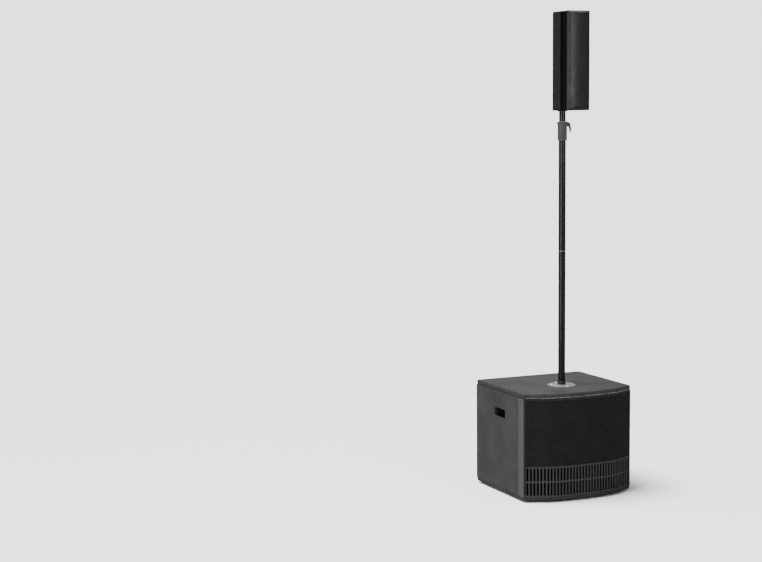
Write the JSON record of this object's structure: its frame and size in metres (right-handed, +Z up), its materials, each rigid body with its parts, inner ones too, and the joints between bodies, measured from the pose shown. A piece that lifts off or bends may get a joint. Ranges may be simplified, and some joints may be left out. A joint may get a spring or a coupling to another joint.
{
  "type": "pa speaker",
  "caption": "Portable loudspeaker stack: a subwoofer cabinet with bowed grille and port grid carries a telescopic pole with clamp and a slim column satellite.",
  "frame": {"origin": "on the floor under the middle of the whole object's box", "axes": "+Z up along the pole; the grilles face -Y; +X is to the right of someone who looks at the grilles"},
  "size_m": [0.654, 0.613, 2.556],
  "materials": {
    "textured_paint": "plywood under fine-grained black structure paint",
    "bare_board": "plywood, thin black stain",
    "front_paint": "dark grey powder coat, satin",
    "grille_steel": "black powder-coated perforated steel",
    "foam": "open-cell acoustic foam, black",
    "cast_frame": "black painted basket",
    "magnet_steel": "zinc-plated magnet plates",
    "cone_paper": "pressed black paper",
    "surround_rubber": "soft black roll",
    "cup_plastic": "moulded black plastic",
    "flange_metal": "brushed, satin",
    "screw_steel": "zinc plated",
    "foot_rubber": "matt black rubber",
    "amp_metal": "black anodised",
    "circuit_board": "green solder resist",
    "winding": "lacquered copper winding under tape",
    "control_plastic": "moulded black plastic",
    "tube_paint": "satin black powder coat on steel tube",
    "joint_steel": "turned steel",
    "clamp_plastic": "grey-black glass-filled nylon",
    "nylon": "natural nylon",
    "cap_plastic": "moulded black plastic",
    "shell_plastic": "fine-grained black plastic",
    "terminal_plastic": "moulded black plastic"
  },
  "bodies": {
    "cabinet": {"sub_top_panel": "textured_paint", "sub_bottom_panel": "textured_paint", "sub_left_side": "textured_paint", "sub_right_side": "textured_paint", "sub_back_panel": "textured_paint", "sub_baffle": "bare_board", "sub_port_shelf": "bare_board", "front_frame": "front_paint", "port_grid": "front_paint", "front_grille": "grille_steel", "grille_foam": "foam", "woofer_basket": "cast_frame", "woofer_magnet": "magnet_steel", "woofer_surround": "surround_rubber", "handle_cup_left": "cup_plastic", "handle_cup_right": "cup_plastic", "pole_flange": "flange_metal", "flange_screw_1": "screw_steel", "flange_screw_2": "screw_steel", "flange_screw_3": "screw_steel", "flange_screw_4": "screw_steel", "rubber_foot_1": "foot_rubber", "rubber_foot_2": "foot_rubber", "rubber_foot_3": "foot_rubber", "rubber_foot_4": "foot_rubber", "amp_plate": "amp_metal", "amp_heatsink": "amp_metal", "amp_circuit_board": "circuit_board", "amp_transformer": "winding", "line_socket_strip": "control_plastic", "speaker_socket_strip": "control_plastic", "mains_inlet": "control_plastic", "pole_lower_tube": "tube_paint", "pole_middle_tube": "tube_paint", "pole_joint_spigot": "joint_steel", "clamp_collar": "clamp_plastic", "clamp_bush": "nylon"},
    "woofer_cone_body": {"woofer_cone": "cone_paper"},
    "level_knob_body": {"level_knob": "control_plastic"},
    "crossover_knob_body": {"crossover_knob": "control_plastic"},
    "phase_button_body": {"phase_button": "control_plastic"},
    "power_rocker_body": {"power_rocker": "control_plastic"},
    "clamp_lever_body": {"clamp_lever": "clamp_plastic"},
    "upper_pole": {"pole_upper_tube": "tube_paint"},
    "pole_cap": {"pole_top_cap": "cap_plastic"},
    "satellite": {"satellite_shell": "shell_plastic", "satellite_top_cap": "shell_plastic", "satellite_bottom_cap": "shell_plastic", "satellite_baffle": "shell_plastic", "satellite_bezel": "front_paint", "satellite_grille": "grille_steel", "satellite_pole_socket": "cap_plastic", "satellite_terminal_plate": "terminal_plastic", "satellite_driver_1": "cast_frame", "satellite_driver_2": "cast_frame", "satellite_driver_3": "cast_frame", "satellite_horn": "terminal_plastic"},
    "satellite_cone_body_1": {"satellite_cone_1": "cone_paper"},
    "satellite_cone_body_2": {"satellite_cone_2": "cone_paper"},
    "satellite_cone_body_3": {"satellite_cone_3": "cone_paper"}
  },
  "joints": [
    {"name": "woofer_cone_travel", "type": "slide", "parent": "cabinet", "child": "woofer_cone_body", "axis": [0, -1, 0], "range_m": [-0.007, 0.007], "stiffness_N_per_m": 3000},
    {"name": "level_knob_turn", "type": "hinge", "parent": "cabinet", "child": "level_knob_body", "pos_m": [0.1, 0.2882, 0.445], "axis": [0, 1, 0], "range_deg": [-150, 150]},
    {"name": "crossover_knob_turn", "type": "hinge", "parent": "cabinet", "child": "crossover_knob_body", "pos_m": [0.06, 0.2882, 0.445], "axis": [0, 1, 0], "range_deg": [-150, 150]},
    {"name": "phase_button_press", "type": "slide", "parent": "cabinet", "child": "phase_button_body", "axis": [0, -1, 0], "range_m": [0, 0.003], "stiffness_N_per_m": 300},
    {"name": "power_rocker_tilt", "type": "hinge", "parent": "cabinet", "child": "power_rocker_body", "pos_m": [-0.03, 0.2872, 0.155], "axis": [1, 0, 0], "range_deg": [-8, 0]},
    {"name": "clamp_lever_turn", "type": "hinge", "parent": "cabinet", "child": "clamp_lever_body", "pos_m": [0.0285, -0.058, 1.968], "axis": [1, 0, 0], "range_deg": [0, 350]},
    {"name": "pole_extension", "type": "slide", "parent": "cabinet", "child": "upper_pole", "axis": [0, 0, 1], "range_m": [0, 0.45]},
    {"name": "satellite_swivel", "type": "hinge", "parent": "upper_pole", "child": "pole_cap", "pos_m": [0, -0.058, 2.121], "axis": [0, 0, 1], "range_deg": [-180, 180]},
    {"name": "satellite_lift_off", "type": "slide", "parent": "pole_cap", "child": "satellite", "axis": [0, 0, 1], "range_m": [0, 0.1]},
    {"name": "satellite_cone_travel_1", "type": "slide", "parent": "satellite", "child": "satellite_cone_body_1", "axis": [0, -1, 0], "range_m": [-0.002, 0.002], "stiffness_N_per_m": 1500},
    {"name": "satellite_cone_travel_2", "type": "slide", "parent": "satellite", "child": "satellite_cone_body_2", "axis": [0, -1, 0], "range_m": [-0.002, 0.002], "stiffness_N_per_m": 1500},
    {"name": "satellite_cone_travel_3", "type": "slide", "parent": "satellite", "child": "satellite_cone_body_3", "axis": [0, -1, 0], "range_m": [-0.002, 0.002], "stiffness_N_per_m": 1500}
  ],
  "couplings": [
    {"joint": "satellite_cone_travel_2", "follows": "satellite_cone_travel_1", "ratio": 1},
    {"joint": "satellite_cone_travel_3", "follows": "satellite_cone_travel_1", "ratio": 1}
  ]
}
